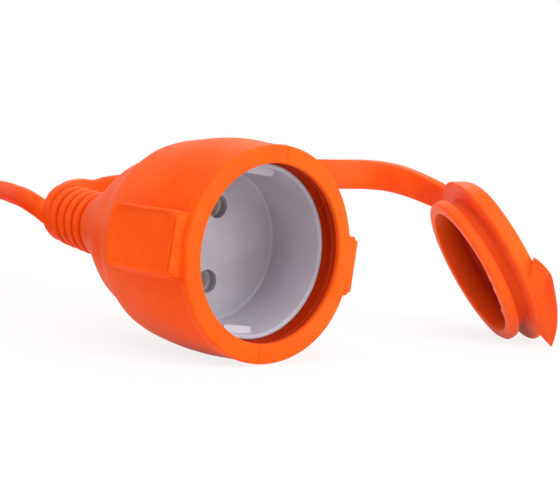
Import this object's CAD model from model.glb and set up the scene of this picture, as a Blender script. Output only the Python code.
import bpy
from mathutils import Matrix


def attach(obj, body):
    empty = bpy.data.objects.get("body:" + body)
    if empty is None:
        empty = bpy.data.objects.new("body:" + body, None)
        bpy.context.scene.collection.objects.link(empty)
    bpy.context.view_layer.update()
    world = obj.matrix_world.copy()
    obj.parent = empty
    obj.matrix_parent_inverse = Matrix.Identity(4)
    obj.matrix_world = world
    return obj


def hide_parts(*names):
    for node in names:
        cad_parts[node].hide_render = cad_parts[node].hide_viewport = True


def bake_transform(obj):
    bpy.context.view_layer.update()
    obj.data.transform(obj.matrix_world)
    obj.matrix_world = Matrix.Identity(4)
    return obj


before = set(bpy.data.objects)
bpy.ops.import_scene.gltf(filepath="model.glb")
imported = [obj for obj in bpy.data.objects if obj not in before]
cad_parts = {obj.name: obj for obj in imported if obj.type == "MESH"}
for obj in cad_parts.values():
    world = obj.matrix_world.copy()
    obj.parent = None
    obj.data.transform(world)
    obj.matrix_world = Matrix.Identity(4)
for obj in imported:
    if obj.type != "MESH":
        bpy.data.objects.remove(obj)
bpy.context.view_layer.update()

import logging
import math
from dataclasses import dataclass
from enum import Enum
from typing import Callable, Sequence

import bmesh
import bpy
import numpy as np
from mathutils import Matrix

log = logging.getLogger("extension_cord")
MM = 0.001
Values = dict[str | int, object]
Pairs = tuple[tuple[float, float], ...]
Triple = tuple[float, float, float]
Triples = tuple[Triple, ...]
TabRow = tuple[Triple, Triple, Triple, Triple, float]


# ---------------------------------------------------------------- places
def turn(axis: int, degrees: float) -> np.ndarray:
    """Rotation matrix about one axis.

    Args:
        axis: 0, 1 or 2 for X, Y or Z.
        degrees: angle, right-handed.

    Returns:
        A 3 by 3 matrix.
    """
    a, b = (axis + 1) % 3, (axis + 2) % 3
    c, s = math.cos(math.radians(degrees)), math.sin(math.radians(degrees))
    matrix = np.eye(3)
    matrix[a, a], matrix[a, b], matrix[b, a], matrix[b, b] = c, -s, s, c
    return matrix


@dataclass(frozen=True, eq=False)
class Place:
    """A frame of its own inside the part: a rotation and a shift in millimetres."""

    rotation: np.ndarray
    shift: np.ndarray

    def put(self, points: np.ndarray) -> np.ndarray:
        """Points of this frame, in the part's frame."""
        return np.asarray(points, float) @ self.rotation.T + self.shift

    def inside(self, rotation: np.ndarray, shift: Sequence[float]) -> "Place":
        """A frame that is turned and shifted within this one."""
        return Place(self.rotation @ rotation, self.put(np.array(shift, float)))


LAY_ROLL = 5.5
STRAP_TURN = 1.5
AS_PLACED = Place(np.eye(3), np.zeros(3))
IN_MOUTH = Place(np.eye(3), np.array([40.78, -47.47, 27.0]))
IN_SOCKET = IN_MOUTH.inside(turn(0, -LAY_ROLL), (0, 0, 0))
ON_STRAP = IN_MOUTH.inside(turn(0, -STRAP_TURN), (0, 0, 0))
IN_CAP = ON_STRAP.inside(turn(2, -121) @ turn(1, 123) @ turn(2, 230.5), (-21.9, 103.7, -1.9))
PLUG_REAR = (-106.0, -92.0, -14.0)
IN_PLUG = IN_MOUTH.inside(np.eye(3), PLUG_REAR)
PIN_OFF = 9.5


# ---------------------------------------------------------------- outlines and curves
def ease(value: np.ndarray, low: float, high: float) -> np.ndarray:
    """Smooth step from 0 at low to 1 at high: t squared times (3 - 2t)."""
    t = np.clip((np.asarray(value, float) - low) / (high - low), 0, 1)
    return t * t * (3 - 2 * t)


def close_to(angle: np.ndarray, middle: float, reach: float) -> np.ndarray:
    """1 at an angle and 0 from reach degrees away on, with a smooth step between."""
    return 1 - ease(np.abs((angle - middle + 180) % 360 - 180), 0, reach)


def unit(vectors: np.ndarray) -> np.ndarray:
    """Vectors of length one, along the last axis."""
    vectors = np.asarray(vectors, float)
    return vectors / np.linalg.norm(vectors, axis=-1, keepdims=True)


def through(at: np.ndarray, knots: np.ndarray, values: np.ndarray) -> np.ndarray:
    """Smooth curve through given values.

    Cubic Hermite spans: between two knots the value is the blend of both ends and both slopes
    with the four Hermite weights of t, and each slope is the central difference of its neighbours.

    Args:
        at: where the curve is wanted.
        knots: rising positions of the given values.
        values: one row for each knot.

    Returns:
        One row for each wanted position.
    """
    at, knots, values = np.asarray(at, float), np.asarray(knots, float), np.asarray(values, float)
    flat = values.reshape(len(knots), -1)
    slopes = np.gradient(flat, knots, axis=0)
    i = np.clip(np.searchsorted(knots, at, side="right") - 1, 0, len(knots) - 2)
    h = (knots[i + 1] - knots[i])[:, None]
    t = (at - knots[i])[:, None] / h
    out = ((2 * t ** 3 - 3 * t ** 2 + 1) * flat[i] + (t ** 3 - 2 * t ** 2 + t) * h * slopes[i]
           + (3 * t ** 2 - 2 * t ** 3) * flat[i + 1] + (t ** 3 - t ** 2) * h * slopes[i + 1])
    return out.reshape((len(at),) + values.shape[1:])


def path_through(points: Sequence[Sequence[float]], count: int) -> np.ndarray:
    """Smooth route with count points, through given ones, by the length of their chords."""
    points = np.array(points, float)
    run = np.concatenate([[0], np.cumsum(np.linalg.norm(np.diff(points, axis=0), axis=1))])
    return through(np.linspace(0, run[-1], count), run, points)


def rounded(corners: Sequence[Sequence[float]], radius: float | Sequence[float],
            steps: int = 4) -> np.ndarray:
    """Closed outline with its corners rounded.

    Each corner P is cut back to A and C along its two sides, by its radius or at most 0.48 of the
    shorter side, and bridged by the curve (1-t)(1-t)A + 2t(1-t)P + t t C.

    Args:
        corners: the outline's corners in order.
        radius: one radius, or one for each corner.
        steps: spans of each bridge.

    Returns:
        The points of the outline, (steps + 1) for each corner.
    """
    p = np.array(corners, float)
    before, after = np.roll(p, 1, axis=0) - p, np.roll(p, -1, axis=0) - p
    lengths = np.minimum(np.linalg.norm(before, axis=1), np.linalg.norm(after, axis=1))
    cut = np.minimum(np.broadcast_to(radius, len(p)), 0.48 * lengths)[:, None]
    a, c = p + unit(before) * cut, p + unit(after) * cut
    t = np.linspace(0, 1, steps + 1)[None, :, None]
    bridge = (1 - t) ** 2 * a[:, None] + 2 * t * (1 - t) * p[:, None] + t ** 2 * c[:, None]
    return bridge.reshape(-1, p.shape[1])


def with_stops(outline: np.ndarray, step: float) -> np.ndarray:
    """Closed outline with points added so that no straight run is longer than step."""
    closed = np.vstack([outline, outline[:1]])
    run = np.concatenate([[0], np.cumsum(np.linalg.norm(np.diff(closed, axis=0), axis=1))])
    stops = np.union1d(run, np.arange(0, run[-1], step))
    stops = stops[np.concatenate([[True], np.diff(stops) > 1e-4])]
    stops = stops[stops < run[-1] - 1e-4]
    return np.column_stack([np.interp(stops, run, closed[:, k]) for k in range(outline.shape[1])])


def box_outline(width: float, height: float, radius: float, steps: int = 4, stop: float = 1.5) -> np.ndarray:
    """Rounded rectangle about the origin."""
    a, b = width / 2, height / 2
    return with_stops(rounded([(a, -b), (a, b), (-a, b), (-a, -b)], radius, steps), stop)


def revolve(outline: np.ndarray, angles: np.ndarray) -> np.ndarray:
    """Outline (x, r) carried round the X axis: the point is (x, r sin a, r cos a)."""
    x, r = outline[:, 0][:, None], outline[:, 1][:, None]
    return np.stack([x + 0 * angles, r * np.sin(angles), r * np.cos(angles)], axis=-1)


def circle_angles(count: int, extra: Sequence[float] = ()) -> np.ndarray:
    """Even angles round a circle with further ones, in degrees, added where detail needs them."""
    even = np.arange(count) * 2 * np.pi / count
    angles = np.union1d(even, np.radians(np.asarray(extra, float)) % (2 * np.pi))
    return angles[np.concatenate([[True], np.diff(angles) > 1e-4])]


def along_path(path: np.ndarray, up: np.ndarray, outlines: np.ndarray) -> np.ndarray:
    """Carries an outline along a path.

    Each point is path + q0 * side + q1 * top, where side is the path's direction crossed with up,
    and top completes the frame.

    Args:
        path: centres, one row each.
        up: the way the outline's second direction points, one row or one for each centre.
        outlines: one outline, or one for each centre.

    Returns:
        Grid of points, centres by outline points.
    """
    way = unit(np.gradient(path, axis=0))
    side = unit(np.cross(way, np.broadcast_to(up, path.shape)))
    top = np.cross(side, way)
    outlines = np.broadcast_to(outlines, (len(path),) + outlines.shape[-2:])
    return path[:, None] + outlines[..., :1] * side[:, None] + outlines[..., 1:] * top[:, None]


# ---------------------------------------------------------------- shader trees
class Term:
    """A value on a shader socket. Its operators add Math nodes."""

    def __init__(self, tree: bpy.types.NodeTree, socket: bpy.types.NodeSocket) -> None:
        """Wraps one output socket of a tree."""
        self.tree, self.socket = tree, socket

    def _math(self, operation: str, *ends: "Term | float") -> "Term":
        """Adds a Math node and feeds its sockets in order."""
        node = self.tree.nodes.new("ShaderNodeMath")
        node.operation = operation
        for place, end in zip(node.inputs, ends):
            if isinstance(end, Term):
                self.tree.links.new(end.socket, place)
            else:
                place.default_value = end
        return Term(self.tree, node.outputs[0])

    def __add__(self, other: "Term | float") -> "Term":
        """Sum."""
        return self._math("ADD", self, other)

    __radd__ = __add__

    def __sub__(self, other: "Term | float") -> "Term":
        """Difference."""
        return self._math("SUBTRACT", self, other)

    def __rsub__(self, other: float) -> "Term":
        """Difference the other way round."""
        return self._math("SUBTRACT", other, self)

    def __mul__(self, other: "Term | float") -> "Term":
        """Product."""
        return self._math("MULTIPLY", self, other)

    __rmul__ = __mul__

    def wave(self) -> "Term":
        """Sine of the value."""
        return self._math("SINE", self)

    def most(self, other: "Term | float") -> "Term":
        """The larger of two values."""
        return self._math("MAXIMUM", self, other)


class Recipe:
    """Builds the node tree of one finish."""

    def __init__(self, name: str) -> None:
        """Starts a material with an empty tree."""
        self.material = bpy.data.materials.new(name)
        self.material.use_nodes = True
        self.tree = self.material.node_tree
        self.tree.nodes.clear()

    def node(self, kind: str, settings: dict[str, object] | None = None, values: Values | None = None,
             output: str | int = 0) -> Term:
        """Adds any node.

        Args:
            kind: the node's type, without ShaderNode before it.
            settings: the node's own options, set first.
            values: numbers, colours or Terms for its input sockets, by name or index.
            output: which output socket to give back.

        Returns:
            The output as a Term.
        """
        node = self.tree.nodes.new("ShaderNode" + kind)
        for key, setting in (settings or {}).items():
            setattr(node, key, setting)
        for key, value in (values or {}).items():
            if isinstance(value, Term):
                self.tree.links.new(value.socket, node.inputs[key])
            else:
                node.inputs[key].default_value = value
        return Term(self.tree, node.outputs[output] if node.outputs else None)

    def place(self) -> Term:
        """Object coordinates, in metres."""
        return self.node("TexCoord", output="Object")

    def lay(self) -> Term:
        """The piece's own UV map: metres along it and across it."""
        return self.node("UVMap", {"uv_map": "lay"})

    def stretched(self, source: Term, scale: Sequence[float]) -> Term:
        """Coordinates stretched by a Mapping node."""
        return self.node("Mapping", values={"Vector": source, "Scale": tuple(scale)})

    def noise(self, source: Term, size_mm: float, detail: float = 2.0, rough: float = 0.5) -> Term:
        """Noise whose blotches are about size_mm across."""
        return self.node("TexNoise", values={"Vector": source, "Scale": 1000 / size_mm, "Detail": detail,
                                             "Roughness": rough}, output="Fac")

    def part_of(self, source: Term, axis: str) -> Term:
        """One coordinate of a vector."""
        return self.node("SeparateXYZ", values={0: source}, output=axis)

    def window(self, value: Term, low: float, high: float) -> Term:
        """0 below low, 1 above high and a smooth step between."""
        return self.node("MapRange", {"interpolation_type": "SMOOTHSTEP"},
                         {"Value": value, "From Min": low, "From Max": high}, "Result")

    def tint(self, share: Term | float, first: "Term | Sequence[float]",
             second: "Term | Sequence[float]") -> Term:
        """Mix of two colours."""
        return self.node("Mix", {"data_type": "RGBA"},
                         {0: share, 6: rgba(first), 7: rgba(second)}, 2)

    def bump(self, height: Term, depth_mm: float, under: Term | None = None) -> Term:
        """Bump of a height from 0 to 1, depth_mm deep."""
        values: Values = {"Height": height, "Distance": depth_mm * MM, "Strength": 1.0}
        if under is not None:
            values["Normal"] = under
        return self.node("Bump", values=values)

    def surface(self, values: Values) -> bpy.types.Material:
        """Ends the tree with a Principled shader."""
        shader = self.node("BsdfPrincipled", values=values)
        self.node("OutputMaterial", values={"Surface": shader})
        return self.material


def rgba(colour: "Term | Sequence[float]") -> "Term | tuple[float, ...]":
    """A colour with its alpha, or a Term as it is."""
    return colour if isinstance(colour, Term) else tuple(colour) + (1.0,) * (4 - len(colour))


def srgb(red: int, green: int, blue: int) -> Triple:
    """Display colour, 0 to 255, as the linear colour that a shader takes."""
    levels = np.array([red, green, blue]) / 255
    return tuple(np.where(levels <= 0.04045, levels / 12.92, ((levels + 0.055) / 1.055) ** 2.4).tolist())


# ---------------------------------------------------------------- finishes
@dataclass(frozen=True)
class MouldedRubber:
    """Soft matt rubber as it comes from the mould: cloudy colour, fine grain and paler scuffs."""

    name: str
    colour: Triple
    deep: Triple
    bloom: Triple
    pit: Triple = (0.36, 0.012, 0.0)
    grain_mm: float = 0.35
    grain_depth_mm: float = 0.012
    roughness: float = 0.5
    sheen: float = 0.16
    gloss: float = 0.2

    def make(self) -> bpy.types.Material:
        """Builds the finish."""
        r = Recipe(self.name)
        here = r.place()
        cloud = r.noise(here, 22, 3)
        mottle = r.noise(here, 4, 4, 0.6)
        grain = r.noise(here, self.grain_mm, 2, 0.6)
        flow = r.noise(here, 9, 2)
        scuff = r.window(r.noise(here, 1.6, 4, 0.7), 0.6, 0.78)
        base = r.tint(r.window(cloud * 0.7 + mottle * 0.3, 0.36, 0.66), self.deep, self.colour)
        base = r.tint(scuff * 0.08, base, self.bloom)
        base = r.tint(r.node("Attribute", {"attribute_name": "pit"}, output="Fac"), base, self.pit)
        return r.surface({
            "Base Color": base,
            "Roughness": self.roughness - 0.06 + 0.12 * mottle + 0.08 * scuff,
            "Normal": r.bump(grain, self.grain_depth_mm, r.bump(flow, 0.05)),
            "Specular IOR Level": self.gloss, "Sheen Weight": self.sheen, "Sheen Roughness": 0.4,
            "Sheen Tint": (1.0, 0.75, 0.68, 1.0)})


@dataclass(frozen=True)
class CordSheath:
    """Extruded cord sheath: smooth, with faint lengthwise draw lines and small scuffs."""

    name: str
    colour: Triple
    deep: Triple
    laid: bool = True

    def make(self) -> bpy.types.Material:
        """Builds the finish; its draw lines follow the piece's UV map, or the X axis if it isn't laid."""
        r = Recipe(self.name)
        here = r.place()
        lines = r.noise(r.stretched(r.lay() if self.laid else here, (0.03, 1, 1)), 0.9, 3, 0.6)
        cloud = r.noise(here, 14, 3)
        grain = r.noise(here, 0.5, 2)
        scuff = r.window(r.noise(here, 2.2, 5, 0.7), 0.62, 0.75)
        base = r.tint(r.window(cloud, 0.35, 0.65), self.deep, self.colour)
        base = r.tint(scuff * 0.12, base, srgb(255, 150, 110))
        return r.surface({
            "Base Color": base, "Roughness": 0.44 + 0.1 * lines + 0.15 * scuff,
            "Normal": r.bump(grain, 0.006, r.bump(lines, 0.03)),
            "Specular IOR Level": 0.03})


@dataclass(frozen=True)
class MouldedPlastic:
    """Hard moulded insulator: even satin colour, faint cloudiness, specks and a very fine grain."""

    name: str
    colour: Triple
    shade: Triple
    roughness: float = 0.32
    speck: Triple = (0.1, 0.09, 0.1)

    def make(self) -> bpy.types.Material:
        """Builds the finish."""
        r = Recipe(self.name)
        here = r.place()
        cloud = r.noise(here, 16, 3)
        grain = r.noise(here, 0.4, 2, 0.6)
        specks = r.window(r.noise(here, 0.7, 1, 0.4), 0.8, 0.84)
        rub = r.noise(r.stretched(here, (1, 0.25, 0.25)), 1.6, 3, 0.6)
        base = r.tint(r.window(cloud, 0.35, 0.65), self.shade, self.colour)
        return r.surface({
            "Base Color": r.tint(specks * 0.5, base, self.speck),
            "Roughness": self.roughness - 0.05 + 0.14 * rub,
            "Normal": r.bump(grain, 0.005, r.bump(rub, 0.01)), "Specular IOR Level": 0.45})


@dataclass(frozen=True)
class PlatedMetal:
    """Plated or bare metal with drawn scratches along it and darker handling marks."""

    name: str
    colour: Triple
    mark: Triple
    roughness: float = 0.24
    metal: float = 1.0

    def make(self) -> bpy.types.Material:
        """Builds the finish."""
        r = Recipe(self.name)
        here = r.place()
        drawn = r.noise(r.stretched(here, (0.08, 1, 1)), 0.5, 4, 0.65)
        stain = r.window(r.noise(here, 3.5, 3, 0.6), 0.45, 0.7)
        return r.surface({
            "Base Color": r.tint(stain * 0.5, self.colour, self.mark), "Metallic": self.metal,
            "Roughness": self.roughness - 0.06 + 0.14 * drawn + 0.1 * stain,
            "Normal": r.bump(drawn, 0.008)})


@dataclass(frozen=True)
class HookAndLoop:
    """Woven tie: crossing threads on the piece's own UV map under a haze of loops."""

    name: str
    colour: Triple
    thread: Triple
    pitch_mm: float = 0.8

    def make(self) -> bpy.types.Material:
        """Builds the finish."""
        r = Recipe(self.name)
        lay = r.lay()
        rate = 2 * math.pi / (self.pitch_mm * MM)
        warp = (r.part_of(lay, "X") * rate).wave() * 0.5 + 0.5
        weft = (r.part_of(lay, "Y") * rate).wave() * 0.5 + 0.5
        weave = (warp * weft).most((1 - warp) * (1 - weft))
        loops = r.noise(r.place(), 0.35, 4, 0.75)
        base = r.tint(weave * 0.5 + loops * 0.5, self.colour, self.thread)
        return r.surface({
            "Base Color": base, "Roughness": 0.78 + 0.2 * loops,
            "Normal": r.bump(loops, 0.1, r.bump(weave, 0.16)),
            "Sheen Weight": 0.5, "Sheen Roughness": 0.5, "Specular IOR Level": 0.2})


class Finish(Enum):
    """Every finish on the cord, named for what it covers."""

    RUBBER = MouldedRubber("body_rubber", srgb(254, 95, 14), srgb(248, 84, 8), srgb(255, 134, 86),
                           sheen=0.03, gloss=0.08)
    BOOT = MouldedRubber("boot_rubber", srgb(254, 92, 14), srgb(246, 80, 8), srgb(255, 132, 84),
                         sheen=0.03, gloss=0.12)
    STRAP = MouldedRubber("strap_rubber", srgb(252, 90, 12), srgb(244, 78, 6), srgb(255, 134, 84),
                          roughness=0.46, sheen=0.12, gloss=0.2)
    CAP = MouldedRubber("cap_rubber", srgb(255, 104, 28), srgb(250, 94, 20), srgb(255, 142, 96),
                        roughness=0.48, sheen=0.14, gloss=0.12)
    PLUG = MouldedRubber("plug_rubber", srgb(250, 90, 12), srgb(242, 78, 6), srgb(255, 130, 82),
                         roughness=0.52)
    SHEATH = CordSheath("round_sheath", srgb(254, 94, 8), srgb(248, 82, 4))
    SHEATH_END = CordSheath("sheath_in_boot", srgb(254, 94, 8), srgb(248, 82, 4), laid=False)
    CUP = MouldedPlastic("cup_plastic", srgb(188, 184, 194), srgb(178, 173, 183))
    CARRIER = MouldedPlastic("carrier_plastic", srgb(196, 192, 198), srgb(182, 177, 184), roughness=0.42)
    WELL = MouldedPlastic("well_plastic", srgb(52, 46, 50), srgb(40, 35, 39), roughness=0.5)
    DARK = MouldedPlastic("bridge_plastic", srgb(58, 58, 62), srgb(44, 44, 48), roughness=0.4,
                          speck=(0.2, 0.2, 0.2))
    BROWN = MouldedPlastic("brown_insulation", srgb(110, 62, 34), srgb(92, 50, 26))
    BLUE = MouldedPlastic("blue_insulation", srgb(46, 92, 190), srgb(34, 74, 164))
    NICKEL = PlatedMetal("plated_nickel", srgb(214, 206, 196), srgb(160, 150, 138))
    SLEEVE = PlatedMetal("sleeve_plating", srgb(236, 230, 226), srgb(206, 198, 192), roughness=0.5, metal=0.3)
    STEEL = PlatedMetal("rolled_steel", srgb(176, 178, 182), srgb(110, 110, 114), roughness=0.36)
    TIE = HookAndLoop("woven_tie", srgb(40, 42, 46), srgb(92, 95, 102))

    def material(self) -> bpy.types.Material:
        """The finish's material, made at its first use. No CAD material has the name of a finish."""
        return bpy.data.materials.get(self.value.name) or self.value.make()


class Body(str, Enum):
    """Bodies that pieces ride on."""

    SOCKET = "socket"
    RING = "ring"
    REAR = "rear_strap"
    FRONT = "front_strap"
    CAP = "sealing_cap"


# ---------------------------------------------------------------- meshes
class Skin:
    """Collects grids of points, in millimetres of one place, and makes one closed mesh of them."""

    def __init__(self, place: Place) -> None:
        """Starts an empty skin in a place."""
        self.place = place
        self.points: list[np.ndarray] = []
        self.faces: list[list[int]] = []
        self.uvs: list[np.ndarray] = []
        self.pits: list[np.ndarray] = []
        self.count = 0

    def grid(self, points: np.ndarray, ring_rows: bool = False, lids: bool = False,
             pit: np.ndarray | float = 0.0) -> "Skin":
        """Adds a grid of points as quads. The last column always joins the first.

        The quad of row i and column j joins (i, j), (i + 1, j), (i + 1, j + 1) and (i, j + 1).
        The UV of a point is its mean distance along the rows and along the columns, in metres.

        Args:
            points: rows by columns by three.
            ring_rows: the last row joins the first.
            lids: closes the first and the last row with a face each.
            pit: share of each point, from 0 to 1, that a finish darkens as the bottom of a groove.

        Returns:
            The skin itself.
        """
        rows, columns = points.shape[:2]
        i, j = np.meshgrid(np.arange(rows - (not ring_rows)), np.arange(columns), indexing="ij")
        i, j = i.ravel(), j.ravel()
        ends = [(i, j), (i + 1, j), (i + 1, j + 1), (i, j + 1)]
        quads = np.stack([(a % rows) * columns + b % columns for a, b in ends], axis=1) + self.count
        down = np.linalg.norm(np.diff(points, axis=0), axis=2).mean(axis=1)
        over = np.linalg.norm(np.diff(points, axis=1), axis=2).mean(axis=0)
        down = np.concatenate([[0], np.cumsum(np.append(down, down.mean()))])
        over = np.concatenate([[0], np.cumsum(np.append(over, over.mean()))])
        corners = np.stack([np.stack([down[a], over[b]], axis=1) for a, b in ends], axis=1)
        self.uvs.append(corners.reshape(-1, 2) * MM)
        self.points.append(points.reshape(-1, 3))
        self.pits.append(np.broadcast_to(pit, (rows, columns)).ravel())
        self.faces.extend(quads.tolist())
        if lids:
            for row in (0, rows - 1):
                self.faces.append((np.arange(columns) + row * columns + self.count).tolist())
                self.uvs.append(np.zeros((columns, 2)))
        self.count += rows * columns
        return self

    def piece(self, name: str, finish: Finish, slot: str, sharp: float = 40.0) -> bpy.types.Object:
        """Makes the object.

        Args:
            name: the piece's name.
            finish: what covers it.
            slot: the record's material slot.
            sharp: edges that turn by more than this many degrees stay crisp.

        Returns:
            The object, at the origin, with its place in its mesh.
        """
        mesh = bpy.data.meshes.new(name)
        mesh.from_pydata((self.place.put(np.vstack(self.points)) * MM).tolist(), [], self.faces)
        layer = mesh.uv_layers.new(name="lay")
        layer.data.foreach_set("uv", np.vstack(self.uvs).astype(np.float32).ravel())
        pits = mesh.attributes.new("pit", "FLOAT", "POINT")
        pits.data.foreach_set("value", np.concatenate(self.pits).astype(np.float32))
        work = bmesh.new()
        work.from_mesh(mesh)
        bmesh.ops.remove_doubles(work, verts=work.verts, dist=2e-6)
        bmesh.ops.recalc_face_normals(work, faces=work.faces)
        work.to_mesh(mesh)
        work.free()
        mesh.polygons.foreach_set("use_smooth", np.ones(len(mesh.polygons), bool))
        mesh.set_sharp_from_angle(angle=math.radians(sharp))
        mesh.materials.append(finish.material())
        made = bpy.data.objects.new(name, mesh)
        bpy.context.scene.collection.objects.link(made)
        return made


def ride(piece: bpy.types.Object, body: Body, *nodes: str) -> bpy.types.Object:
    """Lets a piece move with a body, in place of the CAD nodes it stands for."""
    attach(piece, body.value)
    if nodes:
        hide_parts(*nodes)
    log.info("%s rides on %s, for %s", piece.name, body.value, ", ".join(nodes) or "itself")
    return piece


# ---------------------------------------------------------------- socket body
@dataclass
class SocketShell:
    """Rubber body of the socket: collar, barrel with two grip pads, shoulder and neck. Millimetres."""

    depths: tuple[float, ...] = (3.3, 6, 9, 12, 15, 18, 21, 24, 27, 30, 32, 34.5)
    radii: tuple[float, ...] = (26.15, 26.4, 26.62, 26.88, 26.97, 26.9, 26.7, 26.4, 26.05, 25.7, 25.4, 24.85)
    pad_reach: float = 28.95
    pad_half: float = 7.6
    pad_ends: tuple[float, float] = (-27.4, -1.5)
    panel_half: float = 6.9
    panel_ends: tuple[float, float] = (-25.6, -4.0)
    panel_sink: float = 0.4
    parting_rise: float = 0.1
    parting_cut: float = 0.22
    barrel_r: float = 26.9
    # How far the underside of the barrel and the shoulder hangs lower than a round one
    belly: float = 0.35
    # How far the soft collar is out of round: angle from the top towards +Y, and change of radius
    sag: Pairs = (
        (0, -0.2), (24, -0.2), (42, -0.33), (58, -0.7), (72, -0.95), (90, -0.65), (104, -0.15), (116, 0.0),
        (130, 0.3), (148, 0.38), (168, 0.3), (184, 0.28), (215, 0.1), (250, 0.0), (330, -0.1), (360, -0.2))

    def outline(self) -> np.ndarray:
        """Closed outline (x, r): front face, collar, barrel, shoulder, neck and the hidden bore."""
        fine = np.concatenate([np.arange(3.6, 5.4, 0.16), np.arange(5.6, 22.6, 0.85),
                               np.arange(22.8, 28.6, 0.17), np.arange(29, 34.3, 0.7)])
        barrel = np.column_stack([-fine, through(fine, np.array(self.depths), np.array(self.radii))])
        rear = rounded([(-34.6, 24.85), (-38, 23.35), (-41.3, 21.75), (-44.6, 20.75), (-48, 19.55),
                        (-51, 18.05), (-54, 16.45), (-57, 14.85), (-60, 13.2), (-64, 11.3), (-67.2, 9.95),
                        (-69.0, 9.35), (-70.0, 8.9), (-70.0, 5.0)],
                       [0.2, 1.2, 0.25, 1.2, 0.25, 1.2, 1.2, 1.2, 1.2, 1.2, 0.8, 0.4, 0.5, 0.1], 3)
        bore = [(-60, 5), (-49, 12), (-43, 16.5), (-25.3, 16.5), (-25.3, 21.7), (-6.7, 21.7)]
        mouth = rounded([(-6.4, 23.25), (-4.3, 23.3), (-3.9, 22.6), (-3.6, 22.0), (-3.3, 22.0), (-3.0, 22.7),
                         (-2.1, 22.7), (-1.7, 21.75), (0, 21.75), (0, 26.25),
                         (-0.95, 26.45), (-3.0, 26.4), (-3.3, 26.1)],
                        [0.15, 0.25, 0.2, 0.15, 0.15, 0.2, 0.25, 0.3, 0.55, 0.75, 0.5, 0.2, 0.1], 4)
        collar = np.column_stack([np.arange(-1.35, -2.0, -0.12), np.full(6, 26.45)])
        split = int(np.argmax((mouth[:, 0] < -1.35) & (mouth[:, 1] > 26)))
        return np.vstack([mouth[:split], collar, mouth[split:], barrel, rear, bore])

    def pad(self, x: np.ndarray, across: np.ndarray, half: float, ends: tuple[float, float], corner: float,
            soft: float) -> np.ndarray:
        """1 inside a rounded rectangle and 0 outside, with a soft edge.

        The distance to the rectangle is the length of the positive part of (|p| - half + corner), less
        the corner's radius, and the mask is a smooth step of that distance.
        """
        middle, length = (ends[0] + ends[1]) / 2, (ends[1] - ends[0]) / 2
        a = np.abs(x - middle) - length + corner
        b = np.abs(across) - half + corner
        distance = np.hypot(np.maximum(a, 0), np.maximum(b, 0)) + np.minimum(np.maximum(a, b), 0) - corner
        return 1 - ease(distance, -soft, soft)

    def build(self) -> bpy.types.Object:
        """Revolves the outline, then lifts the pads and the parting line out of it."""
        edges = np.concatenate([np.arange(5.5, 6.5, 0.14), np.arange(6.9, 8.3, 0.13)])
        edges = np.degrees(np.arcsin(edges / self.barrel_r))
        spread = np.concatenate([side * edges + quarter for side in (-1, 1) for quarter in (90, 270)])
        seam = np.concatenate([np.array([-0.9, -0.5, -0.22, 0, 0.22, 0.5, 0.9]) + half for half in (0, 180)])
        angles = circle_angles(144, np.concatenate([spread, seam]))
        points = revolve(self.outline(), angles)
        x, y, z = points[..., 0], points[..., 1], points[..., 2]
        radius = np.hypot(y, z)
        angle = (np.degrees(np.arctan2(y, z)) + LAY_ROLL) % 360
        knots, change = np.array(self.sag).T
        soft = through(angle.ravel(), knots, change).reshape(angle.shape)
        soft = soft * ease(radius, 23.4, 25.6) * (1 - ease(-x, 3, 14))
        y += soft * y / radius
        z += soft * z / radius
        hang = ease(-x, 14, 28) * (1 - ease(-x, 52, 66)) * ease(-z / radius, 0.0, 0.8) * (radius > 9)
        z -= self.belly * hang
        outer = (radius > 23.8) & (x < -0.02) & (x > -34)
        reach = self.pad_reach - 0.006 * np.abs(x + 12)
        lift = self.pad(x, z + 0.6, self.pad_half, self.pad_ends, 2.0, 0.16)
        sunk = self.pad(x, z + 0.6, self.panel_half, self.panel_ends, 1.6, 0.2)
        face = np.sign(y) * (reach - self.panel_sink * sunk)
        share = lift * outer * (np.abs(z) < 9) * (np.abs(y) > 20)
        y += share * (face - y)
        # Parting line of the two mould halves, over the front face, the barrel and the shoulder
        line = np.exp(-(y / 0.22) ** 2) * ((radius > 21.9) & (x > -36) | (x <= -36) & (radius > 9.2))
        z += np.sign(z) * line * self.parting_rise * (x < -0.6) * (np.abs(z) < 26.4)
        x -= line * self.parting_cut * (x > -0.6)
        deep = 0.85 * (1 - ease(x, -2.2, -0.7)) * (np.hypot(y, z) < 23.6) * (x > -7)
        return ride(Skin(IN_SOCKET).grid(points, ring_rows=True, pit=deep).piece(
            "housing_shell", Finish.RUBBER, "orange_rubber", 32), Body.SOCKET, "housing")


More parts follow.
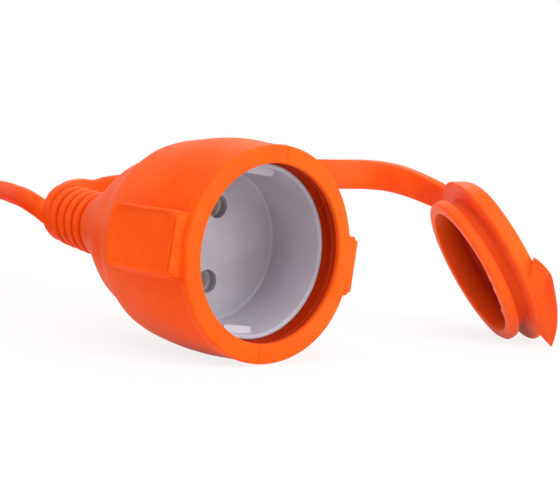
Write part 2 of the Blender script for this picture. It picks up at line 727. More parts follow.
@dataclass
class CupAndContacts:
    """Grey cup with its keys, dark rings behind the pin holes and the rolled contact sleeves. Millimetres."""

    floor_x: float = -23.6
    back_x: float = -25.3
    edge_x: float = -6.2
    floor_r: float = 18.0
    key_half: float = 4.5
    key_rise: float = 1.2
    well_r: float = 3.0
    sleeve_r: float = 2.85
    sleeve_wall: float = 0.4

    def half_floor(self, x: float, angles: np.ndarray, side: float) -> np.ndarray:
        """Half of the floor as a star round its pin hole.

        Each boundary point B, on the rim or on the straight line between the halves, is joined to the
        hole's edge by rows that go from centre + well * unit(B - centre) to B.
        """
        half = angles[(np.cos(angles) * side >= -1e-9)]
        half = half[np.argsort((half + (np.pi if side > 0 else 0)) % (2 * np.pi))]
        rim = np.column_stack([np.sin(half), np.cos(half)]) * self.floor_r
        line = np.column_stack([np.linspace(rim[-1, 0], rim[0, 0], 24)[1:-1], np.zeros(22)])
        edge = np.vstack([rim, line])
        centre = np.array([0, side * PIN_OFF])
        hole = centre + unit(edge - centre) * self.well_r
        share = np.linspace(0, 1, 7)[:, None, None]
        flat = hole * (1 - share) + edge * share
        return np.concatenate([np.full(flat.shape[:2] + (1,), x), flat], axis=2)

    def cup(self) -> None:
        """Builds the cup: floor, keyed wall, chamfered rim, shell and back, as one closed skin."""
        keys = np.array([12.6, 12.9, 13.2, 13.5, 13.8, 14.3])
        keys = np.concatenate([keys * side + half for side in (-1, 1) for half in (0, 180)])
        angles = circle_angles(144, keys)
        wall = rounded([(self.floor_x, 18.0), (self.floor_x, 19.65), (-9.3, 20.4), (-9.0, 20.42),
                        (-6.75, 20.55), (-6.55, 20.85), (self.edge_x, 20.95), (self.edge_x, 21.4),
                        (-6.6, 21.7), (self.back_x, 21.7), (self.back_x, 18.0)],
                       [0.0, 0.9, 0.05, 0.05, 0.12, 0.12, 0.12, 0.15, 0.2, 0.3, 0.0], 5)
        wall = wall[4:-5]
        runs = np.linspace(0, 1, 12)[1:-1, None]
        split = int(np.argmax(wall[:, 0] > -20)) - 1
        long = wall[split] * (1 - runs) + wall[split + 1] * runs
        wall = np.vstack([wall[:split + 1], long, wall[split + 1:]])
        points = revolve(wall, angles)
        x, y, z = points[..., 0], points[..., 1], points[..., 2]
        radius = np.hypot(y, z)
        keyed = (1 - ease(np.abs(y), self.key_half - 0.12, self.key_half + 0.12)) * (1 - ease(x, -9.4, -8.9))
        level = (19.7 - self.key_rise) / np.maximum(np.abs(z) / radius, 0.5)
        inner = (radius > level) & (x < self.edge_x - 0.2) & (x > self.floor_x - 0.01) & (radius < 20.7)
        scale = 1 - keyed * inner * (1 - level / radius)
        points[..., 1:] *= scale[..., None]
        skin = Skin(IN_SOCKET).grid(points)
        for side in (1.0, -1.0):
            front, back = (self.half_floor(at, angles, side) for at in (self.floor_x, self.back_x))
            skin.grid(front).grid(back).grid(np.stack([front[0], back[0]]))
        ride(skin.piece("cup_bowl", Finish.CUP, "grey_insulator", 30), Body.SOCKET, "socket_cup")

    def wells(self) -> None:
        """Dark ring behind each pin hole, and the sleeve that stands back in it."""
        ring = rounded([(-25.15, 3.3), (-25.2, 2.9), (-27.0, 2.9), (-27.0, 3.3)], 0.05, 3)
        lead = -self.sleeve_r + self.sleeve_wall
        tube = rounded([(-26.1, self.sleeve_r - 0.05), (-25.95, self.sleeve_r - 0.2), (-26.4, -lead),
                        (-39.0, -lead), (-39.2, self.sleeve_r)], 0.12, 3)
        gap = math.radians(9)
        for side, word in ((1, "upper"), (-1, "lower")):
            place = IN_SOCKET.inside(np.eye(3), (0, 0, side * PIN_OFF))
            ride(Skin(place).grid(revolve(ring, circle_angles(64)), ring_rows=True).piece(
                f"pin_well_{word}", Finish.WELL, "grey_insulator"), Body.SOCKET)
            around = np.linspace(gap, 2 * np.pi - gap, 56)
            rolled = np.swapaxes(revolve(tube, around), 0, 1)
            ride(Skin(place).grid(rolled, lids=True).piece(
                f"contact_sleeve_{word}", Finish.SLEEVE, "nickel_plating"), Body.SOCKET, f"contact_{word}")

    def build(self) -> None:
        """Builds the cup, its wells and its sleeves."""
        self.cup()
        self.wells()


@dataclass
class StrainRelief:
    """Ribbed boot at the cord's exit. Millimetres."""

    neck_x: float = 70.0
    core_r: float = 6.4
    ribs: Triples = (
        (72.4, 74.6, 8.7), (76.2, 78.7, 8.6), (80.1, 82.6, 8.5), (84.2, 86.9, 8.45))
    seat_r: float = 6.0
    rise: float = 1.45

    def build(self) -> bpy.types.Object:
        """Revolves the ribbed outline and adds the thin flash along the mould's parting line."""
        neck = -self.neck_x
        corners = [(neck, 3.0), (neck, 8.3), (neck - 0.7, 7.9), (neck - 1.3, 6.7)]
        radii = [0.05, 0.3, 0.3, 0.4]
        for front, rear, r in self.ribs:
            corners += [(-front + 0.1, self.core_r), (-front, r - 0.25), (-front - 0.4, r),
                        (-rear + 0.4, r - 0.08), (-rear, r - 0.4), (-rear - 0.1, self.core_r)]
            radii += [0.2, 0.3, 0.3, 0.3, 0.3, 0.2]
        corners += [(-87.3, 6.7), (-87.45, self.seat_r), (-91.3, self.seat_r), (-91.35, 7.3), (-92.0, 6.9),
                    (-92.0, 3.5), (-91.6, 3.05)]
        radii += [0.1, 0.05, 0.05, 0.2, 0.5, 0.4, 0.1]
        points = revolve(rounded(corners, radii, 3), circle_angles(120, [-2, -1, 1, 2, 178, 179, 181, 182]))
        x, y, z = points[..., 0], points[..., 1], points[..., 2]
        radius = np.hypot(y, z)
        flash = np.exp(-(y / 0.2) ** 2) * (radius > 7.2) * (x < -72) * (x > -87)
        z += np.sign(z) * flash * 0.3
        # The soft boot bends up towards its end, except in its bore and in the ring's seat
        seat = (x < -87.2) & (x > -91.33) & (radius < 6.6)
        z += self.rise * ease(-x, 69, 93) * ease(radius, 4.2, 6.0) * ~seat
        deep = 0.55 * (1 - ease(radius, 6.5, 8.0)) * (x < -71) * (x > -87.3)
        return ride(Skin(IN_SOCKET).grid(points, ring_rows=True, pit=deep).piece(
            "relief_boot", Finish.BOOT, "orange_rubber", 38), Body.SOCKET, "strain_relief")


# ---------------------------------------------------------------- strap and cap
@dataclass
class RetainingStrap:
    """Rubber strap from the ring on the boot to the cap, in three skins that meet between the bends."""

    width: float = 8.6
    thick: float = 3.0
    route: Triples = (
        (-89.3, -4.8, 6.6), (-89.3, -0.9, 8.9), (-89.2, 3.0, 8.8), (-88.4, 6.8, 8.0), (-86.2, 10.8, 8.9),
        (-83, 16, 10), (-76, 27, 12.6), (-69, 38, 15), (-63, 49, 17), (-57, 60, 18.8), (-54, 70, 19.6),
        (-52.5, 80, 20.2), (-52, 89, 20), (-51.4, 97, 18.8), (-49.6, 103, 17.1), (-45.8, 107.2, 14.9),
        (-40.8, 106.7, 12.1), (-37.5, 106.2, 10.0))
    # Width of the root where it humps over the ring: position along +Y, width
    root_widths: Pairs = (
        (-4.8, 1.7), (-0.9, 3.6), (3, 6), (6.8, 7.3), (10.8, 8.4), (16, 8.6))
    samples: int = 181

    def lines(self) -> tuple[np.ndarray, np.ndarray, np.ndarray]:
        """Middle line, way of the width, and the way's share of the whole run, each sample by sample."""
        path = path_through(self.route, self.samples)
        run = np.concatenate([[0], np.cumsum(np.linalg.norm(np.diff(path, axis=0), axis=1))])
        share = run / run[-1]
        fold = ease(share, 0.62, 0.9)[:, None]
        tip = ease(share, 0.9, 0.97)[:, None]
        up = unit(np.array([[0, -0.026, 1.0]]) * (1 - fold) + unit(np.array([[0.5, -0.32, 0.8]])) * fold)
        up = unit(up * (1 - tip) + np.array([[0.32, -0.69, 0.644]]) * tip)
        return path, up, share

    def sections(self, path: np.ndarray, share: np.ndarray) -> np.ndarray:
        """Rounded rectangles whose width and thickness ease from the hump on the ring to the cap's root."""
        at, widths = np.array(self.root_widths).T
        near_ring = (share < 0.5) & (path[:, 1] < at[-1])
        wide = np.where(near_ring, through(path[:, 1], at, widths), self.width) + 2.2 * ease(share, 0.93, 1.0)
        thick = 3.4 + (self.thick - 3.4) * ease(share, 0.0, 0.1) + 0.8 * ease(share, 0.93, 1.0)
        unit_box = box_outline(2, 2, 0.34, 3, 0.4)
        return unit_box[None] * np.stack([thick / 2, wide / 2], axis=1)[:, None, :]

    def build(self) -> None:
        """Builds the three skins and blends each across its own bend."""
        path, up, share = self.lines()
        points = along_path(path, up, self.sections(path, share))
        y = path[:, 1]
        first = int(np.argmin(np.abs(y[:self.samples // 2] - 38)))
        second = int(np.argmin(np.abs(y[:self.samples * 3 // 4] - 84)))
        spans = (("strap_root_skin", 0, first, Body.RING, Body.REAR, (-83, 16, 10), "strap_rear"),
                 ("strap_middle_skin", first, second, Body.REAR, Body.FRONT, (-57, 60, 18.8), "strap_front"),
                 ("strap_cap_skin", second, self.samples - 1, Body.FRONT, Body.CAP, (-45.8, 107.2, 15.2), ""))
        for name, start, end, one, other, bend, node in spans:
            made = Skin(ON_STRAP).grid(points[start:end + 1], lids=True).piece(
                name, Finish.STRAP, "orange_rubber", 42)
            at = int(np.argmin(np.linalg.norm(path - np.array(bend), axis=1)))
            way = unit(path[min(at + 1, len(path) - 1)] - path[at - 1])
            reach = 3.4 if one is Body.FRONT else 4.5
            near, far = (ON_STRAP.put(np.array(bend) + way * s) * MM for s in (-reach, reach))
            if node:
                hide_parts(node)
            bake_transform(made)
            log.info("%s bends from %s to %s", name, one.value, other.value)


@dataclass
class StrapRing:
    """Ring of the strap, free to turn on the end of the boot. Millimetres."""

    front_x: float = -87.55
    rear_x: float = -91.05
    bore_r: float = 6.08
    outer_r: float = 8.5
    rise: float = 1.95
    rise_at: float = 10.0

    def build(self) -> bpy.types.Object:
        """Revolves the ring's rounded section, whose outside is shifted towards the strap's root."""
        outline = rounded([(self.rear_x, self.bore_r), (self.front_x, self.bore_r),
                           (self.front_x, self.outer_r), (self.rear_x, self.outer_r)],
                          [0.15, 0.15, 0.7, 0.8], 5)
        points = revolve(with_stops(outline, 0.8), circle_angles(120))
        outside = ease(np.hypot(points[..., 1], points[..., 2]), self.bore_r, self.outer_r) * self.rise
        points[..., 1] += outside * math.sin(math.radians(self.rise_at))
        points[..., 2] += outside * math.cos(math.radians(self.rise_at))
        return ride(Skin(ON_STRAP).grid(points, ring_rows=True).piece(
            "strap_ring_band", Finish.BOOT, "orange_rubber"), Body.RING, "strap_ring")


@dataclass
class SealingCap:
    """Sealing cap: flange, waist, snap bead, hollow and the pull tab. Its plug side faces +Z. Millimetres."""

    flange_r: float = 26.35
    flange_t: float = 4.6
    waist_r: float = 20.6
    bead_r: float = 22.8
    mouth_z: float = 7.1
    hollow_r: float = 19.5
    floor_z: float = -2.6
    rest_z: float = 0.06
    # Cut of the flange by the strap's root: share of the radius, middle and reach in degrees
    root_cut: float = 1.9 / 26
    root_at: float = 309.0
    root_reach: float = 42.0
    # Rows of the pull tab: outer edge, bend of its face, ridge, inner edge and depth
    tab: tuple[TabRow, ...] = (
        ((4.2, 92.2, 1.9), (3.9, 92.2, -0.4), (1.8, 93.6, -6.3), (1.6, 93.8, -6.6), 3),
        ((6.4, 92.4, 0.8), (5.2, 93.1, -1.5), (1.7, 95.3, -8.5), (0.8, 95.5, -8.4), 3),
        ((8.2, 93.3, -0.9), (6.6, 94.3, -3.3), (1.7, 97.3, -10.6), (0.1, 97.3, -10.5), 3),
        ((9.3, 94.1, -2.7), (6.4, 97.3, -4.9), (2.6, 99.2, -12.1), (-0.6, 99.2, -12.6), 3),
        ((9.8, 95.4, -6.4), (5.3, 98.9, -8.9), (3.5, 100.8, -14.3), (-1.3, 101.0, -15.0), 3),
        ((9.1, 98.3, -11.5), (4.3, 101.1, -13.0), (3.6, 102.1, -16.3), (-2.1, 103.1, -17.4), 2.8),
        ((7.2, 101.5, -16.6), (3.8, 103.4, -17.5), (3.2, 103.4, -18.9), (-2.6, 104.8, -19.7), 2.4),
        ((4.7, 104.2, -20.4), (2.8, 105.3, -20.8), (2.6, 105.0, -21.6), (-1.2, 105.8, -21.5), 1.6),
        ((2.3, 106.3, -23.5), (1.9, 106.5, -23.6), (1.7, 106.5, -23.7), (1.3, 106.5, -23.4), 0.8))
    tab_back: Triple = (-0.75, 0.66, 0.0)
    flange_back: Triple = (0.435, 0.715, 0.548)

    def disc(self) -> None:
        """Revolves the cap's outline about its own axis, closed at both poles."""
        back, top, floor = -self.flange_t, self.mouth_z, self.floor_z
        rim, waist, bead, hollow = self.flange_r, self.waist_r, self.bead_r, self.hollow_r
        # Radius, height and rounding of each corner, from the middle of the back to the hollow's floor
        corners = np.array([
            (0, back - 0.5, 0), (10, back - 0.45, 1), (16, back - 0.35, 0.5), (16.6, back - 0.02, 0.3),
            (18.2, back - 0.02, 0.3), (18.8, back - 0.3, 0.5), (rim - 2.4, back - 0.1, 0.8),
            (rim - 0.5, back - 0.1, 0.3), (rim, back + 0.3, 0.4), (rim, -0.45, 0.4), (rim - 0.5, 0, 0.3),
            (waist + 0.2, 0, 0.2), (waist, 0.4, 0.2), (waist, 3.2, 0.3), (waist + 0.5, 3.5, 0.3),
            (bead - 0.5, 3.7, 0.3), (bead, 4.4, 0.6), (bead, top - 0.8, 0.4), (bead - 0.5, top - 0.1, 0.4),
            (hollow + 1.7, top, 0.4), (hollow + 0.6, top, 0.35), (hollow, top - 0.2, 0.5),
            (hollow - 0.1, floor + 1.6, 0.8), (hollow - 1.5, floor, 1), (8, floor, 1), (0, floor, 0)])
        outline = rounded(corners[:, :2], corners[:, 2], 4)
        turned = revolve(outline[:, ::-1], circle_angles(180))
        points = np.stack([turned[..., 1], turned[..., 2], turned[..., 0]], axis=-1)
        # Torn flash inside the opening: the edge stands in by an uneven amount over a short arc
        height, radius = points[..., 2], np.hypot(points[..., 0], points[..., 1])
        around = np.degrees(np.arctan2(points[..., 1], points[..., 0]))
        lip = np.exp(-((height - top) / 0.6) ** 2) * (radius < hollow + 1.2) * (radius > 17)
        torn = 0.5 + 0.5 * np.sin(np.radians(around) * 23) * np.sin(np.radians(around) * 7 + 1)
        arc = ease(around % 360, 174, 184) * (1 - ease(around % 360, 218, 230))
        scale = 1 - lip * arc * (0.3 + torn) * 1.1 / np.maximum(radius, 1)
        points[..., :2] *= scale[..., None]
        # The flange's back edge is cut back where the strap joins it
        cut = close_to(around, self.root_at, self.root_reach) * ease(radius, 22, 26) * ease(-height, 0, 4.6)
        points[..., :2] *= (1 - self.root_cut * cut)[..., None]
        inside = (radius < hollow + 0.3) & (height > floor - 0.2)
        groove = (radius > 20) & (radius < waist + 0.4) & (height > 0.1) & (height < 3.4)
        pit = np.maximum(0.9 * inside * (1 - ease(height, top - 4.0, top - 0.4)), 0.3 * groove)
        placed = IN_CAP.put(points)
        placed[..., 2] = np.maximum(placed[..., 2], self.rest_z)
        ride(Skin(AS_PLACED).grid(placed, pit=pit).piece("cap_shell", Finish.CAP, "orange_rubber", 34),
             Body.CAP, "cap")

    def pull_tab(self) -> None:
        """Carries a creased leaf down the tab's folded rows.

        The four lines and the depth run smoothly through the given rows. A row's outline goes over
        the back from the outer edge to the inner one, and over the ridge and the bend of the face
        back to the outer edge, with its corners rounded.
        """
        rows, knots = np.linspace(0, len(self.tab) - 1, 57), np.arange(len(self.tab))
        outer, bend, ridge, inner, depth = (
            through(rows, knots, np.array([row[k] for row in self.tab], float)) for k in range(5))
        depth = depth[:, None]
        away, sink = np.array([self.tab_back]), np.array([self.flange_back])
        outlines = np.stack([outer + 0.7 * depth * away, bend + depth * away, ridge + depth * away,
                             inner + 0.6 * depth * sink, inner, ridge, bend, outer], axis=1)
        radii = (0.4, 1.2, 1.2, 0.4, 0.3, 0.25, 0.8, 0.4)
        points = np.stack([rounded(outline, radii, 4) for outline in outlines])
        ride(Skin(ON_STRAP).grid(points, lids=True).piece("tab_leaf", Finish.CAP, "orange_rubber", 30),
             Body.CAP, "pull_tab")

    def build(self) -> None:
        """Builds the disc and its tab."""
        self.disc()
        self.pull_tab()


# ---------------------------------------------------------------- cord, coil and tie
@dataclass
class CoiledCord:
    """Five metres of round cord from the boot to the plug, most of it wound. Millimetres, mouth's frame."""

    diameter: float = 6.0
    pitch: float = 6.5
    inner_r: float = 23.0
    turns: tuple[float, ...] = (4.75, 4.75, 4.75, 4.5)
    start: float = 180.0
    centre: tuple[float, float] = (-162.0, -47.0)
    low_z: float = -23.1
    bulge: float = 1.3
    rings: int = 48
    lead: Triples = (
        (-92, 0, 0), (-98, 0, 0), (-107, 1, 1.9), (-119, 3.5, 3.5), (-133, 8, 3.8), (-147, 13.2, 3.8),
        (-158, 16.8, 3.3), (-169, 19, 1.2), (-180, 18.6, -3), (-190.5, 14.6, -8.4), (-199.5, 7.4, -13.8),
        (-206.8, -2.4, -18.2), (-212, -14, -21.2), (-215, -26, -22.8), (-215.875, -35, -23.1),
        (-215.875, -41, -23.1))
    tail: Triples = (
        (-156, -99.25, -3.6), (-150, -99.25, -3.6), (-143, -99.3, -3.9), (-136, -99.2, -5),
        (-129, -98.2, -7.6), (-122.5, -95.9, -10.9), (-116.5, -93.4, -13.1), (-111.5, -92.1, -13.9),
        (-109, -92, -14), (-106, -92, -14))

    def wound(self) -> np.ndarray:
        """Middle line of the coil.

        Odd layers spiral in and even ones out, a pitch for each turn. Between two layers the line
        climbs one pitch in half a turn, by (1 - cos)/2, and swings out by a sine to clear its neighbours.
        """
        turns = np.array(self.turns)
        begins = np.concatenate([[0], np.cumsum(turns[:-1] + 0.5)])
        total = begins[-1] + turns[-1]
        t = np.linspace(0, total, int(round(total * self.rings)) + 1)
        layer = np.searchsorted(begins, t, side="right") - 1
        inside = t - begins[layer]
        over = np.maximum(inside - turns[layer], 0) * 2
        run = np.minimum(inside, turns[layer]) * self.pitch
        inward = layer % 2 == 0
        outer_r = self.inner_r + turns[0] * self.pitch
        swing = self.bulge * np.sin(np.pi * over)
        radius = np.where(inward, outer_r - run - swing, self.inner_r + run + swing)
        height = self.low_z + self.pitch * (layer + (1 - np.cos(np.pi * over)) / 2)
        angle = math.radians(self.start) + 2 * np.pi * t
        return np.column_stack([self.centre[0] + radius * np.cos(angle),
                                self.centre[1] + radius * np.sin(angle), height])

    def path(self) -> np.ndarray:
        """Whole middle line, from the boot to the plug."""
        lead, tail = path_through(self.lead, 90), path_through(self.tail, 34)
        return np.vstack([lead, self.wound(), tail])

    def build(self) -> None:
        path = self.path()
        angles = np.linspace(0, 2 * np.pi, 16, endpoint=False)
        ring = np.column_stack([np.cos(angles), np.sin(angles)]) * self.diameter / 2
        points = along_path(path, np.array([[0, 0, 1.0]]), ring)
        made = Skin(IN_MOUTH).grid(points, lids=True).piece(
            "cord_sheath_run", Finish.SHEATH, "cord_sheath", 60)
        ride(made, Body.SOCKET, "cord_lead", "cord_coil", "cord_tail")
        placed = IN_MOUTH.put(path) * MM


@dataclass
class CoilTie:
    """Hook-and-loop band round the wound turns, its end lapped on top. Millimetres."""

    inner: float = 16.5
    outer: float = 57.6
    low: float = 0.45
    high: float = 26.9
    thick: float = 0.8
    width: float = 14.0
    corner: float = 3.6
    lap: float = 0.55

    def build(self) -> bpy.types.Object:
        """Carries a thin strip round the turns, from the top and back over its own start."""
        over = self.high + self.thick * 1.04
        route = [(self.inner + 5, self.high), (self.outer, self.high), (self.outer, self.low),
                 (self.inner, self.low), (self.inner, over),
                 (self.inner + self.lap * (self.outer - self.inner), over)]
        r = self.corner
        line = rounded(route, (0, r, r, r, r, 0), 6)[6:-6]
        way = unit(np.gradient(line, axis=0))
        out = np.column_stack([way[:, 1], -way[:, 0]])
        strip = box_outline(self.width, self.thick, 0.3, 3, 1.4)
        flat = line[:, None] + out[:, None] * strip[None, :, 1:]
        across = np.broadcast_to(strip[None, :, 0], flat.shape[:2])
        points = np.stack([flat[..., 0], across, flat[..., 1]], axis=-1)
        place = IN_MOUTH.inside(np.eye(3), (CoiledCord.centre[0], CoiledCord.centre[1], -27.0))
        return ride(Skin(place).grid(points, lids=True).piece("tie_band", Finish.TIE, "tie_fabric", 50),
                    Body.SOCKET, "coil_tie")


# ---------------------------------------------------------------- plug
@dataclass
class CordPlug:
    """Moulded contour plug with two round pins and its own ribbed boot. Millimetres, pins towards +X."""

    face_x: float = 60.0
    pin_r: float = 2.4
    pin_len: float = 19.0
    slice_points: int = 96

    PIECES = ("plug_shell", "plug_boot", "plug_bridge_face", "plug_pin_post_left", "plug_pin_post_right",
              "plug_crimp_left", "plug_crimp_right", "plug_core_brown", "plug_core_blue", "plug_sheath_end")

    def slice(self, wide: float, thick: float, corner: float) -> np.ndarray:
        """Rounded rectangle as points by angle: (across the flat sides, across the pins)."""
        outline = box_outline(thick, wide, corner, 8, 0.6)
        angle = np.unwrap(np.arctan2(outline[:, 1], outline[:, 0]))
        order = np.argsort(angle % (2 * np.pi))
        want = np.linspace(0, 2 * np.pi, self.slice_points, endpoint=False)
        given = (angle % (2 * np.pi))[order]
        return np.column_stack([np.interp(want, given, outline[order, k], period=2 * np.pi)
                                for k in range(2)])

    def loft(self, rows: Sequence[Sequence[float]]) -> np.ndarray:
        """Grid of points through slices given as distance, width, thickness and corner radius."""
        return np.stack([np.column_stack([np.full(self.slice_points, x), self.slice(*size)[:, ::-1]])
                         for x, *size in rows])

    def shell(self) -> None:
        """Lofts the body through its slices: shoulder, grip, face rim and the seat of the bridge."""
        f = self.face_x
        stations = (
            (24.0, 15.2, 15.2, 7.6), (24.4, 16.2, 16.2, 8.0), (27, 18.5, 17.2, 8), (30, 22.5, 18.8, 8),
            (33, 26.2, 20.4, 8), (37, 28.6, 21.6, 8), (42, 30.3, 22.4, 8), (48, 31.8, 23.1, 8),
            (52, 32.7, 23.5, 8), (53.4, 33.2, 23.7, 8), (53.9, 34.4, 24.6, 7.6), (54.4, 35.6, 25.7, 7.4),
            (55.2, 36, 26, 7), (f - 1.2, 36, 26, 7), (f - 0.4, 35.6, 25.6, 7), (f, 34.6, 24.6, 6.6),
            (f, 28.6, 16.6, 3.2), (f - 0.3, 28.0, 16.0, 3), (f - 1.6, 28.0, 16.0, 3))
        rows = np.array(stations)
        fine = through(np.linspace(2, 9, 43), np.arange(len(rows)), rows)
        rows = np.vstack([rows[:2], fine, rows[10:]])
        points = self.loft(rows)
        x, y, z = points[..., 0], points[..., 1], points[..., 2]
        grip = (ease(x, 34, 36) - ease(x, 50, 51.5)) * (1 - ease(np.abs(y), 7.5, 9.5)) * (np.abs(z) > 6)
        z += np.sign(z) * grip * 0.45 * np.sin((x - 34) / 2.6 * 2 * np.pi) * (x < 52)
        notch = (1 - ease(np.abs(y), 2.3, 2.9)) * ease(x, 54.6, 55.4) * (np.abs(z) > 10)
        z -= np.sign(z) * notch * np.maximum(np.abs(z) - 11.2, 0)
        ride(Skin(IN_PLUG).grid(points, lids=True).piece("plug_shell", Finish.PLUG, "orange_rubber", 38),
             Body.SOCKET, "plug_body")

    def boot(self) -> None:
        """Revolves the plug's ribbed strain relief."""
        corners, radii = [(0.0, 3.02), (0.0, 4.0), (0.6, 4.4)], [0.1, 0.4, 0.3]
        for k in range(5):
            x, r = 3 + k * 4.2, 5 + k * 0.6
            corners += [(x - 0.4, r - 1.1), (x, r - 0.2), (x + 0.6, r + 0.15), (x + 2.1, r + 0.3),
                        (x + 2.7, r), (x + 3.0, r - 0.8)]
            radii += [0.3, 0.3, 0.4, 0.4, 0.3, 0.3]
        corners += [(23.4, 7.3), (24.2, 7.4), (24.2, 3.02)]
        radii += [0.2, 0.1, 0.1]
        ride(Skin(IN_PLUG).grid(revolve(rounded(corners, radii, 3), circle_angles(96)), ring_rows=True).piece(
            "plug_boot", Finish.PLUG, "orange_rubber"), Body.SOCKET, "plug_strain_relief")

    def contacts(self) -> None:
        """Builds the dark bridge in the face and the two pins with domed tips."""
        f = self.face_x
        rows = ((f - 13, 27.9, 15.9, 3), (f - 0.6, 27.9, 15.9, 3), (f - 0.15, 27.5, 15.5, 2.8),
                (f - 0.1, 24, 12, 2.5), (f - 0.5, 23.4, 11.4, 2.4))
        points = self.loft(rows)
        ride(Skin(IN_PLUG).grid(points, lids=True).piece(
            "plug_bridge_face", Finish.DARK, "dark_insulator", 30), Body.SOCKET, "plug_bridge")
        tip = f + self.pin_len
        post = rounded([(f - 6, 0.0), (f - 6, 2.0), (f - 0.4, 2.0), (f - 0.35, self.pin_r),
                        (tip - 1.7, self.pin_r), (tip - 0.35, 1.7), (tip, 0.9), (tip, 0.0)],
                       [0, 0.1, 0.05, 0.12, 0.9, 0.6, 0.4, 0], 4)
        for side, word in ((1, "left"), (-1, "right")):
            place = IN_PLUG.inside(np.eye(3), (0, side * PIN_OFF, 0))
            ride(Skin(place).grid(revolve(post, circle_angles(48))).piece(
                f"plug_pin_post_{word}", Finish.NICKEL, "nickel_plating"), Body.SOCKET, f"plug_pin_{word}")

    def build(self) -> None:
        """Builds the shell, the boot and the contacts."""
        self.shell()
        self.boot()
        self.contacts()


# ---------------------------------------------------------------- carried-over nodes
INNER: dict[Finish, tuple[str, ...]] = {
    Finish.CARRIER: ("contact_carrier", "carrier_plate"),
    Finish.NICKEL: ("crimp_upper", "crimp_lower", "plug_crimp_left", "plug_crimp_right"),
    Finish.STEEL: ("cord_anchor",),
    Finish.BROWN: ("core_brown", "plug_core_brown"),
    Finish.BLUE: ("core_blue", "plug_core_blue"),
    Finish.SHEATH_END: ("sheath_end", "plug_sheath_end"),
}


def dress_inner_nodes() -> None:
    """Gives each CAD node that stays its finish."""
    for finish, names in INNER.items():
        for name in names:
            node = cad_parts[name]
            node.data.materials.clear()
            node.data.materials.append(finish.material())
            log.info("%s is dressed in %s", name, finish.value.name)


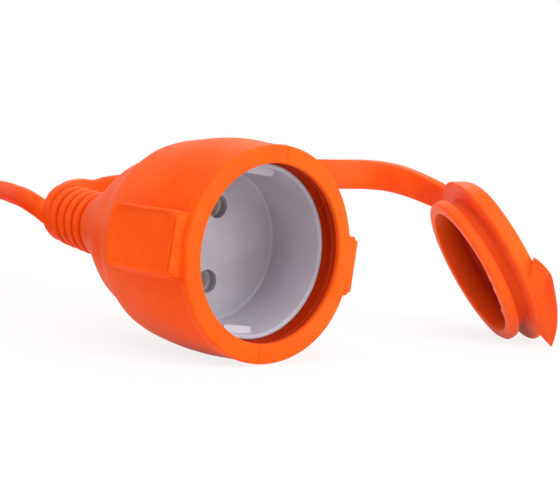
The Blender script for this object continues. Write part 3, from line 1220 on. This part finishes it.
# ---------------------------------------------------------------- studio
@dataclass
class Studio:
    """Camera, pale floor, white surroundings and soft lamps. Metres."""

    eye: Triple = (0.30870, -0.28050, 0.05722)
    right: Triple = (0.6532, 0.7537, 0.0726)
    up: Triple = (-0.1102, -0.0002, 0.9939)
    back: Triple = (0.7491, -0.6572, 0.0829)
    lens: float = 95.98
    ambient: float = 0.5
    floor_reach: float = 6.0
    floor_white: float = 0.84
    # Soft lamps: name, place, point they look at, size and watts
    lamps: tuple[tuple[str, Triple, Triple, float, float], ...] = (
        ("key", (0.45, -0.45, 1.0), (0.0, 0.0, 0.03), 0.9, 8.0),
        ("fill", (1.0, 0.45, 0.6), (0.0, 0.0, 0.03), 0.8, 5.5),
        ("rim", (-0.5, 0.7, 1.0), (0.0, 0.0, 0.03), 0.8, 5.0),
        ("low", (0.55, 0.35, 0.12), (0.0, 0.06, 0.02), 0.3, 0.9))

    def camera(self) -> None:
        """Places the camera by its own three axes."""
        data = bpy.data.cameras.new("camera")
        data.lens, data.sensor_width, data.clip_start, data.clip_end = self.lens, 36.0, 0.01, 50.0
        made = bpy.data.objects.new("camera", data)
        axes = np.column_stack([self.right, self.up, self.back])
        square, triangle = np.linalg.qr(axes)
        matrix = Matrix((square * np.sign(np.diag(triangle))).tolist()).to_4x4()
        matrix.translation = self.eye
        made.matrix_world = matrix
        bpy.context.scene.collection.objects.link(made)
        bpy.context.scene.camera = made

    def lamp(self, name: str, at: Triple, aim: Triple, size: float, watts: float) -> None:
        """One square soft lamp that looks at a point."""
        data = bpy.data.lights.new(name, "AREA")
        data.size, data.energy = size, watts
        made = bpy.data.objects.new(name, data)
        z = unit(np.array(at) - np.array(aim))
        x = unit(np.cross((0.0, 0.3, 1.0), z))
        matrix = Matrix(np.column_stack([x, np.cross(z, x), z]).tolist()).to_4x4()
        matrix.translation = tuple(at)
        made.matrix_world = matrix
        bpy.context.scene.collection.objects.link(made)

    def surroundings(self) -> None:
        """World that is white to the camera and a plain soft light for everything else."""
        world = bpy.data.worlds.new("studio")
        world.use_nodes = True
        tree = world.node_tree
        tree.nodes.clear()
        seen, lit = (tree.nodes.new("ShaderNodeBackground") for _ in range(2))
        seen.inputs["Strength"].default_value = 1.0
        lit.inputs["Strength"].default_value = self.ambient
        path, mix = tree.nodes.new("ShaderNodeLightPath"), tree.nodes.new("ShaderNodeMixShader")
        for background in (seen, lit):
            background.inputs["Color"].default_value = (1, 1, 1, 1)
        share = Term(tree, path.outputs["Is Camera Ray"])
        for kind in ("Is Glossy Ray", "Is Transmission Ray"):
            share = share.most(Term(tree, path.outputs[kind]))
        tree.links.new(share.socket, mix.inputs[0])
        tree.links.new(lit.outputs[0], mix.inputs[1])
        tree.links.new(seen.outputs[0], mix.inputs[2])
        tree.links.new(mix.outputs[0], tree.nodes.new("ShaderNodeOutputWorld").inputs["Surface"])
        bpy.context.scene.world = world

    def floor(self) -> None:
        """Pale floor that keeps a faint shadow."""
        r = Recipe("studio_floor")
        seen = r.node("LightPath", output="Is Camera Ray")
        for kind in ("Is Glossy Ray", "Is Transmission Ray"):
            seen = seen.most(r.node("LightPath", output=kind))
        away = r.node("VectorMath", {"operation": "LENGTH"}, {0: r.place()}, "Value")
        seen = seen * (self.floor_white + (1 - self.floor_white) * r.window(away, 0.12, 0.45))
        lit = r.node("BsdfDiffuse", values={"Color": (0.9, 0.9, 0.9, 1)})
        white = r.node("Emission", values={"Color": (1, 1, 1, 1), "Strength": 1.0})
        r.node("OutputMaterial", values={"Surface": r.node("MixShader", values={0: seen, 1: lit, 2: white})})
        k = self.floor_reach
        mesh = bpy.data.meshes.new("studio_floor")
        mesh.from_pydata([(-k, -k, 0), (k, -k, 0), (k, k, 0), (-k, k, 0)], [], [(0, 1, 2, 3)])
        mesh.materials.append(r.material)
        made = bpy.data.objects.new("studio_floor", mesh)
        bpy.context.scene.collection.objects.link(made)

    def build(self) -> None:
        """Sets up camera, world, floor and lamps."""
        self.camera()
        self.surroundings()
        self.floor()
        for lamp in self.lamps:
            self.lamp(*lamp)
        bpy.context.scene.view_settings.view_transform = "Standard"


def main() -> None:
    """Builds every sub-assembly in order."""
    logging.basicConfig(level=logging.INFO, format="%(name)s: %(message)s")
    Studio().build()
    builders: list[Callable[[], object]] = [
        CordPlug().build, CoiledCord().build, CoilTie().build, SocketShell().build,
        CupAndContacts().build, StrainRelief().build, StrapRing().build, RetainingStrap().build,
        SealingCap().build, dress_inner_nodes]
    for build in builders:
        build()


if __name__ == "__main__":
    main()
